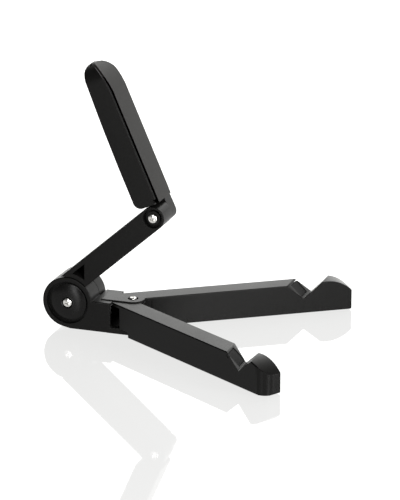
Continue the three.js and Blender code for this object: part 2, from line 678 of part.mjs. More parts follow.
// The front cover: a curved plate that wraps the tip, with posts for its screws.
function paddleCover() {
  const outside = crosswise(paddleSide(COVER_PROUD), -FAR, FAR, 0, 7);
  const plate = coverLayer(COVER_THICKNESS, COVER_SEAM).intersect(outside).intersect(coverFace(0));
  const front = -PADDLE_FRONT - COVER_PROUD + COVER_THICKNESS;
  const posts = PADDLE_SCREW_PLACES.map((x) => (
    post(COVER_SCREW_HEAD + 0.6, front - 0.5, paddleBackAt(x) - 3.4 - SEAT_GAP).translate([x, 0, 0])
  ));
  const holes = PADDLE_SCREW_PLACES.map((x) => (
    post(COVER_SCREW_RADIUS + SEAT_GAP, front - 0.4, FAR, 20).translate([x, 0, 0])
  ));
  return cutAll(joinAll(plate, posts), holes);
}

function buildPaddle() {
  const group = new THREE.Group();
  group.add(piece('paddle_shell', paddleShell(), BLACK_PLASTIC));
  group.add(piece('paddle_cover', paddleCover(), COVER_PLASTIC));
  PADDLE_SCREW_PLACES.forEach((x, index) => {
    const seat = paddleBackAt(x) - 1.6 + SEAT_GAP;
    group.add(piece(`paddle_screw_${index + 1}`, coverScrew(7).translate([x, 0, seat]), NICKEL));
  });
  const headSeat = -HALF + KNUCKLE_DISH_DEPTH - KNUCKLE_BOSS_HEIGHT - SEAT_GAP;
  group.add(...crossJoint('knuckle', headSeat));
  group.add(frictionWasher('knuckle_friction_washer', KNUCKLE_WASHER_RADIUS, KNUCKLE_SPLIT));
  return group;
}

// ---- legs, drawn lying along +X from the pivot; the left leg's outside is at +Y ----

function legSide() {
  const centre = LEG_TOP + HOOK_RISE - HOOK_RADIUS;
  const meet = Math.PI - Math.asin((LEG_TOP - centre) / HOOK_RADIUS);
  const tip = Math.acos((LEG_LENGTH - HOOK_CROWN) / HOOK_RADIUS);
  const shape = new THREE.Shape();
  shape.moveTo(-HINGE_ROOM * 2, LEG_BOTTOM);
  shape.lineTo(LEG_LENGTH - 1, LEG_BOTTOM);
  shape.quadraticCurveTo(LEG_LENGTH, LEG_BOTTOM, LEG_LENGTH, LEG_BOTTOM + 1);
  shape.lineTo(LEG_LENGTH, centre + HOOK_RADIUS * Math.sin(tip));
  shape.absarc(HOOK_CROWN, centre, HOOK_RADIUS, tip, meet, false);
  shape.lineTo(-HINGE_ROOM * 2, LEG_TOP);
  shape.closePath();
  return shape;
}

// The plan view, with a heel cut square to the base's wall and to the middle plane when open.
function legPlan() {
  const wall = PIVOT_TO_WALL - LAP_GAP;
  const heel = new THREE.Vector2(-wall, LEG_INNER).rotateAround(new THREE.Vector2(), -LEG_OPEN);
  const outerStart = (-wall + LEG_OUTER * Math.sin(LEG_OPEN)) / Math.cos(LEG_OPEN);
  const innerStart = LEG_INNER * (1 - Math.cos(LEG_OPEN)) / Math.sin(LEG_OPEN);
  return outline([
    [innerStart, LEG_INNER],
    [LEG_LENGTH, LEG_INNER, 0.8],
    [LEG_LENGTH, LEG_OUTER, LEG_TIP_ROUND],
    [outerStart, LEG_OUTER],
    [heel.x, heel.y],
  ]);
}

// The notch runs straight across the stand when the leg is open.
function legNotch(side) {
  const bottom = LEG_TOP - NOTCH_DEPTH;
  const rise = NOTCH_DEPTH + 5;
  const shape = outline([
    [NOTCH_REACH, bottom, 0.5],
    [NOTCH_REACH + rise, bottom + rise],
    [NOTCH_REACH - rise, bottom + rise],
  ]);
  return crosswise(shape, -4 * FAR, 4 * FAR, 0, 3).rotate([0, 0, -side * LEG_STOP_ANGLE]);
}

const PAD_THICKNESS = 1;
const PAD_LENGTH = 9;
const PAD_MARGIN = 1.9;
const PAD_SUNK = 0.3;

// The strip let into the notch's rear face, drawn on the slope and grown by `grow`.
function notchPad(side, grow) {
  const middle = NOTCH_REACH - NOTCH_DEPTH / 2;
  const across = (LEG_OUTER + LEG_INNER) / 2 / Math.cos(LEG_OPEN);
  const width = (LEG_OUTER - LEG_INNER) / Math.cos(LEG_OPEN) - 2 * PAD_MARGIN - 1;
  const strip = block(
    [-PAD_LENGTH / 2 - grow, -width / 2 - grow, -PAD_THICKNESS - PAD_SUNK - grow],
    [PAD_LENGTH / 2 + grow, width / 2 + grow, -PAD_SUNK + 3 * grow],
  );
  const reach = (middle * Math.tan(LEG_OPEN) + across) * side;
  const onSlope = strip.rotate([0, 45, 0]);
  const placed = onSlope.translate([middle, reach, LEG_TOP - NOTCH_DEPTH / 2]);
  return placed.rotate([0, 0, -side * LEG_STOP_ANGLE]);
}

function legFootOutline(side, grow) {
  const inner = side * (LEG_INNER + WALL + 1.2 - grow);
  const outer = side * (LEG_OUTER - WALL - 1.2 + grow);
  return outline([
    [LEG_LENGTH - 24 - grow, Math.min(inner, outer), 1.5],
    [LEG_LENGTH - 7 + grow, Math.min(inner, outer), 1.5],
    [LEG_LENGTH - 7 + grow, Math.max(inner, outer), 1.5],
    [LEG_LENGTH - 24 - grow, Math.max(inner, outer), 1.5],
  ]);
}

// Pockets that open downwards, between ribs, from the hinge to the notch.
function legPockets(side) {
  const start = HINGE_ROOM + 2;
  const end = NOTCH_REACH / Math.cos(LEG_OPEN) - NOTCH_DEPTH - 7;
  const pitch = (end - start) / LEG_RIB_COUNT;
  const walls = [side * (LEG_INNER + WALL), side * (LEG_OUTER - WALL)].sort((a, b) => a - b);
  const rooms = [];
  for (let index = 0; index < LEG_RIB_COUNT; index += 1) {
    const from = start + index * pitch;
    rooms.push(block([from, walls[0], -1], [from + pitch - LEG_RIB, walls[1], LEG_TOP - 2.2]));
  }
  rooms.push(block([end, walls[0], -1], [LEG_LENGTH - 26, walls[1], LEG_TOP - NOTCH_DEPTH - 2]));
  return rooms;
}

// The lug that turns on the leg screw, with its neck and the pockets for its washers.
function legLug(side, bottom, top) {
  const inner = side * (LEG_INNER + 0.1);
  const outer = side * (HINGE_ROOM - 2);
  const neck = block(
    [0, Math.min(inner, outer), bottom],
    [HINGE_ROOM + 4, Math.max(inner, outer), top],
  );
  return post(LUG_RADIUS, bottom, top, 40).add(neck);
}

function legBody(side) {
  const heelTop = LEG_TOP - WALL;
  const flip = side > 0 ? [0, 0, 0] : [0, 1, 0];
  const plan = upright(legPlan(), -1, FAR, 0, 6);
  const floorGap = FLOOR_TOP + LAP_GAP;
  const floorRoom = post(HALF + LAP_GAP, -1, floorGap, 48)
    .add(block([-FAR, -FAR, -1], [LEG_STEP_END, FAR, floorGap]));
  const sided = side > 0 ? plan : plan.mirror(flip);
  const span = side > 0 ? [LEG_INNER, LEG_OUTER] : [-LEG_OUTER, -LEG_INNER];
  const bar = crosswise(legSide(), span[0], span[1], EDGE, 8).intersect(sided);
  const hingeRoom = post(HINGE_ROOM, -1, heelTop, 48);
  const wallRoom = block([-FAR, -FAR, -1], [LEG_WALL_START, FAR, heelTop]);
  const tongueRoom = post(TONGUE_RADIUS + LAP_GAP, HIGH_LUG_TOP, FAR, 40);
  const neckRoom = block(
    [-FAR, -TONGUE_RADIUS - LAP_GAP, HIGH_LUG_TOP],
    [0, TONGUE_RADIUS + LAP_GAP, FAR],
  ).rotate([0, 0, -side * LEG_STOP_ANGLE]);
  const otherLug = post(LUG_RADIUS + SWEEP_GAP, heelTop - 1, FAR, 40);
  const isHigh = side > 0;
  const lug = isHigh
    ? legLug(side, HIGH_LUG_BOTTOM, HIGH_LUG_TOP)
    : legLug(side, LOW_LUG_BOTTOM, LOW_LUG_TOP);
  const washerWell = LUG_WASHER_RADIUS + SEAT_GAP;
  const wells = isHigh
    ? post(washerWell, -1, LOW_LUG_TOP + WASHER_THICKNESS + 2 * SEAT_GAP, 36)
      .add(post(washerWell, TONGUE_BOTTOM - WASHER_THICKNESS - 2 * SEAT_GAP, FAR, 36))
    : post(washerWell, -1, FLOOR_TOP + WASHER_THICKNESS + 2 * SEAT_GAP, 36);
  const footSeat = upright(legFootOutline(side, SEAT_GAP), -1, LEG_BOTTOM + FOOT_PAD + SEAT_GAP, 0, 4);
  const opened = cutAll(bar, [hingeRoom, wallRoom, floorRoom, tongueRoom, neckRoom]);
  const cleared = isHigh ? opened : opened.subtract(otherLug);
  return cutAll(cleared, legPockets(side))
    .add(lug)
    .subtract(tongueRoom)
    .subtract(wells)
    .subtract(post(SCREW_HOLE, -1, FAR, 24))
    .subtract(legNotch(side))
    .subtract(notchPad(side, SEAT_GAP))
    .subtract(footSeat);
}

function buildLeg(prefix, side) {
  const group = new THREE.Group();
  const foot = upright(legFootOutline(side, 0), 0, LEG_BOTTOM + FOOT_PAD, 0, 4);
  group.add(
    piece(`${prefix}_leg`, legBody(side), BLACK_PLASTIC),
    piece(`${prefix}_notch_pad`, notchPad(side, 0), RUBBER),
    piece(`${prefix}_leg_foot`, foot, RUBBER),
  );
  return group;
}

// ---- the stand, open ----

const stand = new THREE.Group();
const base = buildBase();

const arm = buildArm();
arm.position.set(0, 0, HUB_HEIGHT);
arm.rotation.y = -rad(ARM_ANGLE);

const paddle = buildPaddle();
paddle.position.set(ARM_LENGTH, 0, ARM_MIDDLE);
paddle.rotation.y = -rad(PADDLE_ANGLE);
arm.add(paddle);

const leftLeg = buildLeg('left', 1);
leftLeg.position.set(LEG_PIVOT, 0, 0);
leftLeg.rotation.z = rad(LEFT_LEG_ANGLE);

const rightLeg = buildLeg('right', -1);
rightLeg.position.set(LEG_PIVOT, 0, 0);
rightLeg.rotation.z = -rad(RIGHT_LEG_ANGLE);

// The origin is the middle of the base's foot, on the table.
const moving = new THREE.Group();
moving.add(base, arm, leftLeg, rightLeg);
moving.position.x = -(FOOT_BACK + FOOT_FRONT) / 2;
stand.add(moving);

export default stand;
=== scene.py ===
# Looks of the fold-up tablet stand. Lengths are metres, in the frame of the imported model.
import json
import math

import bmesh
import bpy
from mathutils import Matrix, Vector


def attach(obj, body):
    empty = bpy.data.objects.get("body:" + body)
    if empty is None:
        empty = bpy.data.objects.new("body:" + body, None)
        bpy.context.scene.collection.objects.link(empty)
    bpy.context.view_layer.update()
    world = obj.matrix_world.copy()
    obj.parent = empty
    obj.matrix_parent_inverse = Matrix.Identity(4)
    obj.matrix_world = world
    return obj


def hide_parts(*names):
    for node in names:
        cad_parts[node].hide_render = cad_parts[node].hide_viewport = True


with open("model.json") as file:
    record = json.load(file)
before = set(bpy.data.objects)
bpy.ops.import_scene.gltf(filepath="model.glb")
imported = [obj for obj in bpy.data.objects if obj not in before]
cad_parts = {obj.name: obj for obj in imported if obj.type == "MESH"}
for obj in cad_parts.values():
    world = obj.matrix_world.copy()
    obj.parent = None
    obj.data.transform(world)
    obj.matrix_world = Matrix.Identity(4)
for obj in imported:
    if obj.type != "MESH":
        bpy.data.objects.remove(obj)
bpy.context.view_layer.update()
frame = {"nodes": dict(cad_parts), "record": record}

MM = 0.001

# ---- camera ----

CAMERA_AZIMUTH = math.radians(18.99)
CAMERA_ELEVATION = math.radians(18.4)
CAMERA_DISTANCE = 1.6725
CAMERA_LENS = 263.85
CAMERA_TARGET = Vector((0.05945, 0.0, 0.0528))

# ---- finishes ----

BLACK = (0.0042, 0.0041, 0.0039)
COVER_BLACK = (0.0095, 0.0090, 0.0083)
RUBBER_BLACK = (0.0090, 0.0090, 0.0088)
PLASTIC_GLOSS = 0.09
NYLON_WHITE = (0.62, 0.60, 0.53)
NICKEL_WHITE = (0.80, 0.79, 0.76)

CAP_GLOSS = 0.14
EDGE_SHINE = 0.1                   # how much smoother a rubbed edge is

SHELL_EDGE = 0.16 * MM             # softened edges of the moulded shells
FINE_EDGE = 0.12 * MM
EDGE_STEPS = 2
SHARPEST_BEND = 38.0               # degrees; sharper bends of a shell are softened
FLAT_BEND = 1.0                    # degrees; facets flatter than this become one face
WORN_AND_SHEEN_BEND = 35.0                   # degrees; bends of this size get the full edge wear and painted sheen

LEFT_LEG_ANGLE = 33.5              # degrees from the stand's middle, as posed
RIGHT_LEG_ANGLE = 32.2


# ---- material maths ----

class Value:
    """A socket of a node tree that can be used in sums."""

    def __init__(self, shader, socket):
        self.shader = shader
        self.socket = socket

    def sum(self, operation, *others):
        return self.shader.node("ShaderNodeMath", {"operation": operation}, list(others))

    def __add__(self, other):
        return self.sum("ADD", self, other)

    def __radd__(self, other):
        return self.sum("ADD", other, self)

    def __sub__(self, other):
        return self.sum("SUBTRACT", self, other)

    def __rsub__(self, other):
        return self.sum("SUBTRACT", other, self)

    def __mul__(self, other):
        return self.sum("MULTIPLY", self, other)

    def __rmul__(self, other):
        return self.sum("MULTIPLY", other, self)

    def __truediv__(self, other):
        return self.sum("DIVIDE", self, other)

    def __pow__(self, other):
        return self.sum("POWER", self, other)

    def at_least(self, low):
        return self.sum("MAXIMUM", self, low)

    def clamped(self):
        return self.sum("MINIMUM", self.at_least(0.0), 1.0)


class Graph:
    """A node tree under construction."""

    def __init__(self, tree):
        self.tree = tree

    def node(self, kind, settings, inputs, output=0):
        """Adds a node: its settings first, then its sockets by position or by name."""
        made = self.tree.nodes.new(kind)
        for key, value in settings.items():
            setattr(made, key, value)
        pairs = inputs.items() if isinstance(inputs, dict) else enumerate(inputs)
        for key, value in pairs:
            self.join(made.inputs[key], value)
        return Value(self, made.outputs[output])

    def join(self, socket, value):
        if isinstance(value, Value):
            self.tree.links.new(value.socket, socket)
        elif isinstance(value, list):
            for part in value:
                self.join(socket, part)
        else:
            socket.default_value = value


class Finish(Graph):
    """A material."""

    def __init__(self, name):
        self.material = bpy.data.materials.new(name)
        self.material.use_nodes = True
        super().__init__(self.material.node_tree)
        self.surface = self.tree.nodes["Principled BSDF"]
        self.place = self.node("ShaderNodeTexCoord", {}, [], "Object")

    def set(self, **sockets):
        for name, value in sockets.items():
            self.join(self.surface.inputs[name.replace("_", " ")], value)

    def noise(self, scale, detail=3.0, roughness=0.5):
        """Noise about 0.5, with `scale` features to the metre."""
        return self.node(
            "ShaderNodeTexNoise", {"noise_dimensions": "3D"},
            {"Vector": self.place, "Scale": scale, "Detail": detail, "Roughness": roughness},
            "Fac",
        )

    def cells(self, scale):
        """Distance from the middle of small round cells."""
        return self.node(
            "ShaderNodeTexVoronoi", {"feature": "F1"},
            {"Vector": self.place, "Scale": scale, "Randomness": 1.0},
            "Distance",
        )

    def stored(self, attribute):
        """A value that the mesh carries, or 0 where it carries none."""
        return self.node("ShaderNodeAttribute", {"attribute_name": attribute}, [], "Fac")

    def mix(self, mask, first, second):
        """Mixes two colours."""
        made = self.tree.nodes.new("ShaderNodeMix")
        made.data_type = "RGBA"
        self.join(made.inputs[0], mask)
        for socket, value in ((made.inputs[6], first), (made.inputs[7], second)):
            self.join(socket, value if isinstance(value, Value) else (*value, 1.0))
        return Value(self, made.outputs[2])

    def bump(self, height, depth, strength):
        return self.node(
            "ShaderNodeBump", {}, {"Height": height, "Distance": depth, "Strength": strength},
            "Normal",
        )


def tint(colour, factor):
    return tuple(part * factor for part in colour)


def moulded(name, colour, roughness, grain_depth, gloss=PLASTIC_GLOSS):
    """Satin moulded plastic: spark grain, faint flow marks, edges lightened as wear and
    painted sheen, and faces painted black as shade.
    """
    finish = Finish(name)
    grain = finish.cells(2600.0) * 0.6 + finish.noise(5200.0, 2.0) * 0.4
    flow = finish.noise(38.0, 4.0, 0.55)
    dust = finish.noise(900.0, 3.0, 0.7)
    # Painted shade: faces marked here get a black base colour and full metallic, so they
    # render black as the groove's shadow and a dark edge reflection.
    painted_shade = finish.stored("painted_shade")
    # Edges are lightened, partly as wear and partly as a painted sheen of light on their
    # rounding.
    wear_and_sheen = (finish.stored("worn_and_sheen") * (0.5 + dust)).clamped()
    shade = finish.mix(flow, tint(colour, 0.86), tint(colour, 1.16))
    speckled = finish.mix((dust - 0.58).clamped() * 2.4, shade, tint(colour, 2.6))
    bright = finish.mix(wear_and_sheen * 0.35, speckled, tint(colour, 2.4))
    pebbles = finish.noise(1250.0, 2.0, 0.6)
    # The marked faces are painted black here as shade.
    finish.set(
        Base_Color=finish.mix(painted_shade, bright, (0.0, 0.0, 0.0)),
        Metallic=painted_shade,
        Roughness=roughness + (flow - 0.5) * 0.09 + (dust - 0.5) * 0.2 - wear_and_sheen * EDGE_SHINE,
        Normal=finish.bump(grain + pebbles * 2.2, grain_depth, 0.6),
        Specular_IOR_Level=gloss,
    )
    return finish.material


def rubber(name, colour):
    """Matte rubber with a chalky bloom and fine pits."""
    finish = Finish(name)
    pits = finish.cells(3400.0)
    bloom = finish.noise(170.0, 5.0, 0.65)
    finish.set(
        Base_Color=finish.mix(bloom, tint(colour, 0.8), tint(colour, 1.7)),
        Roughness=0.66 + bloom * 0.2,
        Normal=finish.bump(pits + finish.noise(1500.0) * 0.5, 0.00003, 0.6),
        Specular_IOR_Level=0.16,
    )
    return finish.material


def nylon(name, colour):
    """Natural nylon, waxy, with turning marks."""
    finish = Finish(name)
    cloud = finish.noise(240.0, 3.0)
    finish.set(
        Base_Color=finish.mix(cloud, tint(colour, 0.9), colour),
        Roughness=0.42 + cloud * 0.12,
        Normal=finish.bump(finish.noise(2400.0, 2.0), 0.00002, 0.5),
    )
    return finish.material


def nickel(name, colour):
    """Bright plated steel with fine marks and duller patches."""
    finish = Finish(name)
    marks = finish.noise(2800.0, 4.0, 0.6)
    dull = finish.noise(420.0, 3.0)
    finish.set(
        Base_Color=finish.mix(dull, tint(colour, 0.78), colour),
        Metallic=1.0,
        Roughness=0.2 + (dull - 0.5) * 0.14 + (marks - 0.5) * 0.08,
        Normal=finish.bump(marks, 0.000012, 0.5),
    )
    return finish.material


FINISHES = {
    "black_plastic": moulded("black_plastic", BLACK, 0.38, 0.000022),
    "cap_plastic": moulded("cap_plastic", BLACK, 0.26, 0.000008, CAP_GLOSS),
    "cover_plastic": moulded("cover_plastic", COVER_BLACK, 0.46, 0.000028),
    "rubber": rubber("black_rubber", RUBBER_BLACK),
    "nylon": nylon("natural_nylon", NYLON_WHITE),
    "nickel": nickel("nickel_plate", NICKEL_WHITE),
}
SLOT_OF = {part["node"]: part["material_slot"] for part in frame["record"]["subparts"]}
BODY_OF = {
    node: body
    for body, nodes in frame["record"]["behaviour"]["bodies"].items()
    for node in nodes
}


# ---- softened shells ----

def merged_copy(node):
    """A closed mesh from a CAD node's loose triangles, with flat faces joined up."""
    source = frame["nodes"][node]
    mesh = bmesh.new()
    mesh.from_mesh(source.data)
    bmesh.ops.remove_doubles(mesh, verts=mesh.verts, dist=1e-6)
    bmesh.ops.dissolve_limit(
        mesh, angle_limit=math.radians(FLAT_BEND), verts=mesh.verts, edges=mesh.edges,
        use_dissolve_boundaries=False,
    )
    return mesh


def mark_worn_and_sheen_edges(data):
    """Stores how sharply each point of a mesh bends outwards, from 0 to 1; edges are lightened
    by it as wear and painted sheen.
    """
    mesh = bmesh.new()
    mesh.from_mesh(data)
    bend = [0.0] * len(mesh.verts)
    for edge in mesh.edges:
        if len(edge.link_faces) != 2:
            continue
        turn = edge.calc_face_angle_signed(0.0)
        for vert in edge.verts:
            bend[vert.index] = max(bend[vert.index], turn / math.radians(WORN_AND_SHEEN_BEND))
    mesh.free()
    attribute = data.attributes.new("worn_and_sheen", "FLOAT", "POINT")
    attribute.data.foreach_set("value", [min(1.0, max(0.0, value)) for value in bend])


def add_bevel(piece, width):
    """Softens the sharp edges and keeps the shading of the flat faces flat."""
    bevel = piece.modifiers.new("soft_edges", "BEVEL")
    bevel.width = width
    bevel.segments = EDGE_STEPS
    bevel.limit_method = "ANGLE"
    bevel.angle_limit = math.radians(SHARPEST_BEND)
    bevel.use_clamp_overlap = False
    bevel.miter_outer = "MITER_ARC"
    weighted = piece.modifiers.new("flat_faces", "WEIGHTED_NORMAL")
    weighted.mode = "FACE_AREA"
    weighted.weight = 100
    weighted.keep_sharp = True


def plain_mesh(piece, name):
    """The evaluated mesh of an object, as a new object without modifiers."""
    bpy.context.view_layer.update()
    graph = bpy.context.evaluated_depsgraph_get()
    data = bpy.data.meshes.new_from_object(piece.evaluated_get(graph))
    data.name = name
    made = bpy.data.objects.new(name, data)
    bpy.context.collection.objects.link(made)
    bpy.data.objects.remove(piece)
    return made


def smooth_by_angle(data, degrees):
    data.shade_smooth()
    data.set_sharp_from_angle(angle=math.radians(degrees))


def put_in_place(piece, node, finish=None):
    """Rides on the body of the node that it stands for, with that node's finish or its own."""
    slot = SLOT_OF[node]
    piece.data.materials.clear()
    piece.data.materials.append(FINISHES[finish or slot])
    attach(piece, BODY_OF[node])
    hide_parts(node)


def soften(node, width):
    """A copy of a CAD node with rounded edges, which stands for it."""
    mesh = merged_copy(node)
    data = bpy.data.meshes.new(node + "_rough")
    mesh.to_mesh(data)
    mesh.free()
    data.shade_smooth()
    rough = bpy.data.objects.new(node + "_rough", data)
    bpy.context.collection.objects.link(rough)
    add_bevel(rough, width)
    piece = plain_mesh(rough, node + "_skin")
    mark_worn_and_sheen_edges(piece.data)
    put_in_place(piece, node)
    return piece


SHELLS = {
    "base_housing": SHELL_EDGE,
    "arm_body": SHELL_EDGE,
    "arm_cover": FINE_EDGE,
    "paddle_shell": FINE_EDGE,
    "paddle_cover": FINE_EDGE,
    "left_leg": SHELL_EDGE,
    "right_leg": SHELL_EDGE,
}
SKINS = {shell: soften(shell, edge) for shell, edge in SHELLS.items()}


# ---- painted shade: black faces for the shadow in the paddle's groove and the dark reflection on the legs' top edges ----

def paint_shade_on_faces(piece, is_shaded):
    """Stores 1 on the faces whose normal passes a test, which are painted black as shade, and
    0 on the rest.
    """
    attribute = piece.data.attributes.new("painted_shade", "FLOAT", "FACE")
    marks = [float(is_shaded(face.normal)) for face in piece.data.polygons]
    attribute.data.foreach_set("value", marks)


def faces_sideways(normal):
    """True on the side faces of the paddle's cover, which stand in its groove; they are
    painted black as the groove's shadow.
    """
    return abs(normal.y) > 0.97


def on_outer_edge(side, degrees):
    """A test for the rounded edge along the top of a leg's outer side, which is painted black
    as a dark reflection.
    """
    turn = math.radians(degrees)
    outward = Vector((-math.sin(turn), side * math.cos(turn), 0.0))
    return lambda normal: normal.dot(outward) > 0.26 and 0.2 < normal.z < 0.96


# Painted shade: these faces are painted black as shadow and dark reflection.
paint_shade_on_faces(SKINS["paddle_cover"], faces_sideways)
paint_shade_on_faces(SKINS["left_leg"], on_outer_edge(1, LEFT_LEG_ANGLE))
paint_shade_on_faces(SKINS["right_leg"], on_outer_edge(-1, RIGHT_LEG_ANGLE))


# ---- pieces made by nodes ----

WELD = 0.002 * MM                  # points nearer than this are joined
CROSS_TURN = 0.4                   # of a screw's cross, in radians
PAN_HEAD = 1.5 / 2.7               # height of a pan head for its radius
BOLT_SHANK = 1.45 / 2.7            # radius of a machine screw's shank for that of its head
TAPPER_SHANK = 1.0 / 1.9           # the same for a self-tapping screw
LARGEST_TAPPER = 2.2 * MM          # head radius up to which a screw is self-tapping
LEG_SCREW_HEAD = 0.74              # share of its seat that the leg screw's head fills
DOME_STEPS = 10
NUT_CHAMFER = 0.09                 # of the nut's reach across corners
CAP_WELL = 3.25 * MM               # radius of the well in the domed cap
CAP_SHOULDER = 0.3 * MM            # rounding between the well and the dome
CAP_FALL = 0.615                   # share of the cap's height by which its dome falls
CAP_STEPS = 21


class Maker(Graph):
    """A Geometry Nodes tree with named inputs that ends in real geometry with its finish."""

    def __init__(self, name):
        super().__init__(bpy.data.node_groups.new(name, "GeometryNodeTree"))
        self.name = name
        self.sockets = {}
        self.ask("Geometry", "NodeSocketGeometry")
        self.start = self.tree.nodes.new("NodeGroupInput")
        self.given = Value(self, self.start.outputs[0])

    def ask(self, name, kind):
        made = self.tree.interface.new_socket(name, in_out="INPUT", socket_type=kind)
        self.sockets[name] = made.identifier
        if kind != "NodeSocketGeometry":
            return Value(self, self.start.outputs[name])
        return None

    def finish(self, geometry, finish):
        self.tree.interface.new_socket(
            "Geometry", in_out="OUTPUT", socket_type="NodeSocketGeometry",
        )
        real = self.node("GeometryNodeRealizeInstances", {}, [geometry])
        done = self.node("GeometryNodeSetMaterial", {}, {"Geometry": real, "Material": finish})
        end = self.tree.nodes.new("NodeGroupOutput")
        self.join(end.inputs[0], done)

    def make(self, name, points, **inputs):
        """Runs the tree on a line of points and gives a plain mesh object."""
        line = bpy.data.meshes.new(name + "_line")
        line.from_pydata(points, [(i, i + 1) for i in range(len(points) - 1)], [])
        rough = bpy.data.objects.new(name + "_rough", line)
        bpy.context.collection.objects.link(rough)
        modifier = rough.modifiers.new(self.name, "NODES")
        modifier.node_group = self.tree
        for key, value in inputs.items():
            modifier[self.sockets[key.replace("_", " ")]] = value
        return plain_mesh(rough, name)


def turned(maker, segments):
    """Turns the given line of points, drawn from the top down, about the z axis."""
    count = maker.node(
        "GeometryNodeAttributeDomainSize", {"component": "MESH"}, [maker.given], "Point Count",
    )
    column = segments + 1
    grid = maker.node(
        "GeometryNodeMeshGrid", {},
        {"Size X": 1.0, "Size Y": 1.0, "Vertices X": count, "Vertices Y": column},
    )
    index = maker.node("GeometryNodeInputIndex", {}, [])
    row = maker.node("ShaderNodeMath", {"operation": "FLOOR"}, [(index + 0.5) / column])
    place = maker.node("GeometryNodeInputPosition", {}, [])
    point = maker.node(
        "GeometryNodeSampleIndex", {"data_type": "FLOAT_VECTOR", "domain": "POINT"},
        {"Geometry": maker.given, "Value": place, "Index": row},
    )
    angle = (index - row * column) * math.tau / segments
    swung = maker.node(
        "ShaderNodeVectorRotate", {"rotation_type": "AXIS_ANGLE"},
        {"Vector": point, "Axis": (0.0, 0.0, 1.0), "Angle": angle},
    )
    skin = maker.node("GeometryNodeSetPosition", {}, {"Geometry": grid, "Position": swung})
    return maker.node(
        "GeometryNodeMergeByDistance", {}, {"Geometry": skin, "Distance": WELD},
    )


def turned_tree(name, finish, with_cross=False):
    """A turned piece; a screw also gets the cross cut in its head."""
    maker = Maker(name)
    segments = maker.ask("Segments", "NodeSocketInt")
    blade_length = maker.ask("Blade Length", "NodeSocketFloat")
    blade_width = maker.ask("Blade Width", "NodeSocketFloat")
    blade_depth = maker.ask("Blade Depth", "NodeSocketFloat")
    head_top = maker.ask("Head Top", "NodeSocketFloat")
    body = turned(maker, segments)
    if with_cross:
        size = maker.node(
            "ShaderNodeCombineXYZ", {}, [blade_length, blade_width, blade_depth * 2.0],
        )
        up = maker.node("ShaderNodeCombineXYZ", {}, [0.0, 0.0, head_top])
        blade = maker.node("GeometryNodeMeshCube", {}, {"Size": size})
        blades = [
            maker.node(
                "GeometryNodeTransform", {},
                {"Geometry": blade, "Translation": up, "Rotation": (0.0, 0.0, turn)},
            )
            for turn in (CROSS_TURN, CROSS_TURN + math.pi / 2)
        ]
        sink = maker.node(
            "GeometryNodeMeshCone", {},
            {"Vertices": 24, "Radius Top": blade_length * 0.34, "Radius Bottom": 0.0,
             "Depth": blade_depth * 0.9},
        )
        low = maker.node(
            "ShaderNodeCombineXYZ", {}, [0.0, 0.0, head_top - blade_depth * 0.8],
        )
        blades.append(maker.node(
            "GeometryNodeTransform", {}, {"Geometry": sink, "Translation": low},
        ))
        body = maker.node(
            "GeometryNodeMeshBoolean", {"operation": "DIFFERENCE", "solver": "EXACT"},
            {"Mesh 1": body, "Mesh 2": blades},
        )
    maker.finish(body, finish)
    return maker


def along(points, axis):
    """Lowest and highest reach of some points along an axis."""
    reach = [point.dot(axis) for point in points]
    return min(reach), max(reach)


def middle_of(points, axis):
    """The point on a round piece's centre line that is nearest the origin."""
    side = axis.orthogonal().normalized()
    other = axis.cross(side)
    first = sum(along(points, side)) / 2
    second = sum(along(points, other)) / 2
    return side * first + other * second


def measured(node, axis):
    """A round piece's points, its two ends along an axis and its middle."""
    points = [vert.co.copy() for vert in frame["nodes"][node].data.vertices]
    return points, *along(points, axis), middle_of(points, axis)


def radii(points, axis, middle):
    """Distances of some points from the centre line through the middle."""
    return [(point - axis * point.dot(axis) - middle).length for point in points]


def stand_up(piece, axis, middle, height, spin=0.0):
    """Moves a piece made about z so that z lies along an axis, in the mesh itself."""
    turn = axis.to_track_quat("Z", "Y").to_matrix().to_4x4()
    piece.data.transform(
        Matrix.Translation(middle + axis * height) @ turn @ Matrix.Rotation(spin, 4, "Z")
    )


def profile(pairs):
    """Points in the plane y = 0 from pairs of radius and height."""
    return [(radius, 0.0, height) for radius, height in pairs]


SCREW_TREE = turned_tree("cross_head_screw", FINISHES["nickel"], with_cross=True)
NUT_TREE = turned_tree("turned_nut", FINISHES["nickel"])
CAP_TREE = turned_tree("domed_cap", FINISHES["cap_plastic"])


def make_screw(node, axis, head=1.0):
    """A pan-head screw with a cross recess; `head` is the share of the seat that it fills."""
    points, low, high, middle = measured(node, axis)
    seat = max(radii(points, axis, middle))
    tall = seat * PAN_HEAD
    shank = seat * (BOLT_SHANK if seat > LARGEST_TAPPER else TAPPER_SHANK)
    length = high - low - tall
    widest = seat * head
    section = []
    for step in range(DOME_STEPS + 1):
        turn = step / DOME_STEPS * math.pi / 2
        section.append((
            widest * math.sin(turn) ** 0.85, tall * (0.4 + 0.6 * math.cos(turn) ** 0.75),
        ))
    section += [
        (widest, 0.08 * tall), (widest * 0.97, 0.0), (shank, 0.0),
        (shank, -length + shank * 0.5), (shank * 0.6, -length), (0.0, -length),
    ]
    piece = SCREW_TREE.make(
        node + "_cross_head", profile(section), Segments=40,
        Blade_Length=widest * 1.15, Blade_Width=widest * 0.26,
        Blade_Depth=tall * 0.62, Head_Top=tall,
    )
    smooth_by_angle(piece.data, 28.0)
    stand_up(piece, axis, middle, high - tall)
    put_in_place(piece, node)


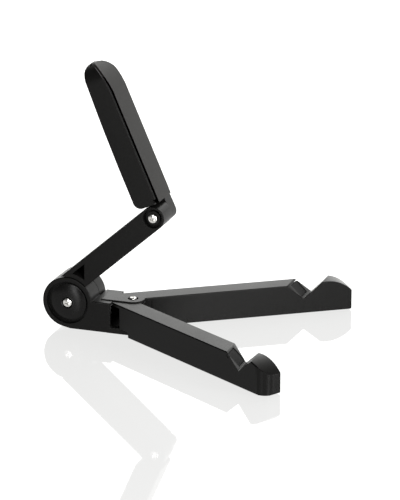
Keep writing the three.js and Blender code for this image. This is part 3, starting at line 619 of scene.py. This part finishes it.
def make_nut(node, axis):
    """A hexagon nut with chamfered corners, turned to sit in its pocket."""
    points, low, high, middle = measured(node, axis)
    turn = axis.to_track_quat("Z", "Y").inverted()
    flat = [turn @ (point - middle) for point in points]
    corner = max(flat, key=lambda point: point.xy.length)
    widest = corner.xy.length
    bore = min(point.xy.length for point in flat)
    tall = high - low
    chamfer = NUT_CHAMFER * widest
    section = [
        (bore, tall - chamfer), (bore + chamfer, tall), (widest - 2 * chamfer, tall),
        (widest, tall - chamfer), (widest, chamfer), (widest - 2 * chamfer, 0.0),
        (bore + chamfer, 0.0), (bore, chamfer), (bore, tall - chamfer),
    ]
    piece = NUT_TREE.make(node + "_hexagon", profile(section), Segments=6)
    stand_up(piece, axis, middle, low, math.atan2(corner.y, corner.x))
    put_in_place(piece, node)


def make_hub_cap(axis):
    """The domed disc, with a rolled shoulder and a well for the screw's head."""
    points, low, high, middle = measured("hub_cap", axis)
    reaches = radii(points, axis, middle)
    bore = min(reaches)
    reach = max(reaches)
    tall = high - low
    rim = reach - 0.1 * MM
    crown = CAP_WELL + CAP_SHOULDER
    section = [
        (bore, tall * 0.32), (CAP_WELL - 0.1 * MM, tall * 0.32), (CAP_WELL, tall * 0.36),
        (CAP_WELL + 0.04 * MM, tall * 0.93), (crown, tall),
    ]
    for step in range(1, CAP_STEPS + 1):
        radius = crown + (rim - crown) * step / CAP_STEPS
        section.append((radius, tall * (1.0 - CAP_FALL * (radius / rim) ** 3.2)))
    section += [(reach, tall * 0.38), (reach, 0.0), (bore, 0.0), section[0]]
    piece = CAP_TREE.make("hub_cap_dome", profile(section), Segments=96)
    smooth_by_angle(piece.data, 35.0)
    stand_up(piece, axis, middle, low)
    put_in_place(piece, "hub_cap", "cap_plastic")


ACROSS = Vector((0.0, -1.0, 0.0))
UP = Vector((0.0, 0.0, 1.0))
PADDLE_BACK = -Vector(next(
    mount["axis"] for mount in frame["record"]["mounts"] if mount["name"] == "paddle_face"
)).normalized()

SCREWS = {
    "hub_screw": ACROSS,
    "knuckle_screw": ACROSS,
    "leg_screw": UP,
    "arm_cover_screw_1": -ACROSS,
    "arm_cover_screw_2": -ACROSS,
    "paddle_screw_1": PADDLE_BACK,
    "paddle_screw_2": PADDLE_BACK,
}
for screw, head_side in SCREWS.items():
    make_screw(screw, head_side, LEG_SCREW_HEAD if screw == "leg_screw" else 1.0)
for nut, open_side in {"hub_nut": -ACROSS, "knuckle_nut": -ACROSS, "leg_nut": -UP}.items():
    make_nut(nut, open_side)
make_hub_cap(ACROSS)


# ---- carried-over nodes ----

for name, node in frame["nodes"].items():
    node.data.materials.clear()
    node.data.materials.append(FINISHES[SLOT_OF[name]])


# ---- floor, light and camera ----

def add_camera():
    flat = Vector((math.sin(CAMERA_AZIMUTH), -math.cos(CAMERA_AZIMUTH), 0.0))
    away = flat * math.cos(CAMERA_ELEVATION) + Vector((0, 0, math.sin(CAMERA_ELEVATION)))
    data = bpy.data.cameras.new("camera")
    data.sensor_fit = "HORIZONTAL"
    data.lens = CAMERA_LENS
    data.clip_end = 20
    camera = bpy.data.objects.new("camera", data)
    camera.matrix_world = Matrix.Translation(CAMERA_TARGET + away * CAMERA_DISTANCE) @ (
        away.to_track_quat("Z", "Y").to_matrix().to_4x4()
    )
    bpy.context.collection.objects.link(camera)
    bpy.context.scene.camera = camera


FLOOR_REACH = 5.0
FLOOR_SHADE = (0.12, 0.12, 0.12, 1.0)
FLOOR_GLOW = (1.0, 1.0, 0.992, 1.0)


def add_floor():
    """A polished white floor that glows a little, so it stays white and mirrors the stand."""
    data = bpy.data.meshes.new("floor")
    reach = FLOOR_REACH
    data.from_pydata(
        [(-reach, -reach, 0), (reach, -reach, 0), (reach, reach, 0), (-reach, reach, 0)],
        [], [(0, 1, 2, 3)],
    )
    floor = bpy.data.objects.new("floor", data)
    bpy.context.collection.objects.link(floor)
    finish = Finish("white_floor")
    finish.set(
        Base_Color=FLOOR_SHADE,
        Roughness=0.03,
        Specular_IOR_Level=0.8,
        Emission_Color=FLOOR_GLOW,
        Emission_Strength=0.745,
    )
    data.materials.append(finish.material)


# Softboxes on a circle round the stand, just above the floor:
# (compass angle from -Y towards +X, width, height, watts).
SOFTBOXES = ((-8.0, 0.2, 0.75, 4.5), (46.0, 0.26, 0.75, 12.0), (84.0, 0.2, 0.6, 6.0))
SOFTBOX_DISTANCE = 1.1
SOFTBOX_CENTRE = Vector((0.05, 0.0, 0.01))


def add_softboxes():
    for index, (turn, width, height, watts) in enumerate(SOFTBOXES):
        angle = math.radians(turn)
        away = Vector((math.sin(angle), -math.cos(angle), 0.0))
        data = bpy.data.lights.new(f"softbox_{index + 1}", "AREA")
        data.shape = "RECTANGLE"
        data.size = width
        data.size_y = height
        data.energy = watts
        light = bpy.data.objects.new(data.name, data)
        place = SOFTBOX_CENTRE + away * SOFTBOX_DISTANCE + Vector((0.0, 0.0, height / 2))
        light.matrix_world = Matrix.Translation(place) @ (
            away.to_track_quat("Z", "Y").to_matrix().to_4x4()
        )
        bpy.context.collection.objects.link(light)


# Glows on the studio's walls and ceiling: (direction, brightness, sharpness).
GLOWS = (
    ((-0.15, 0.9, 0.4), 3.1, 4.0),
    ((0.5, 0.86, -0.05), 0.5, 9.0),
    ((0.0, 0.0, 1.0), 0.1, 1.0),
)
DIM = 0.05
BACKDROP = 1.02
STUDIO_WHITE = (1.0, 1.0, 0.985, 1.0)


def add_world():
    """A dim studio with soft glows, and plain white where it is looked at directly."""
    world = bpy.data.worlds.new("studio")
    bpy.context.scene.world = world
    world.use_nodes = True
    studio = Graph(world.node_tree)
    place = studio.node("ShaderNodeTexCoord", {}, [], "Generated")
    glow = DIM
    for direction, brightness, sharpness in GLOWS:
        facing = studio.node(
            "ShaderNodeVectorMath", {"operation": "DOT_PRODUCT"},
            [place, Vector(direction).normalized()], "Value",
        )
        glow = facing.at_least(0.0) ** sharpness * brightness + glow
    seen = studio.node("ShaderNodeLightPath", {}, [], "Is Camera Ray")
    background = studio.tree.nodes["Background"]
    studio.join(background.inputs["Color"], STUDIO_WHITE)
    studio.join(background.inputs["Strength"], seen * BACKDROP + (1.0 - seen) * glow)


add_camera()
add_floor()
add_world()
add_softboxes()
bpy.context.scene.view_settings.view_transform = "Standard"
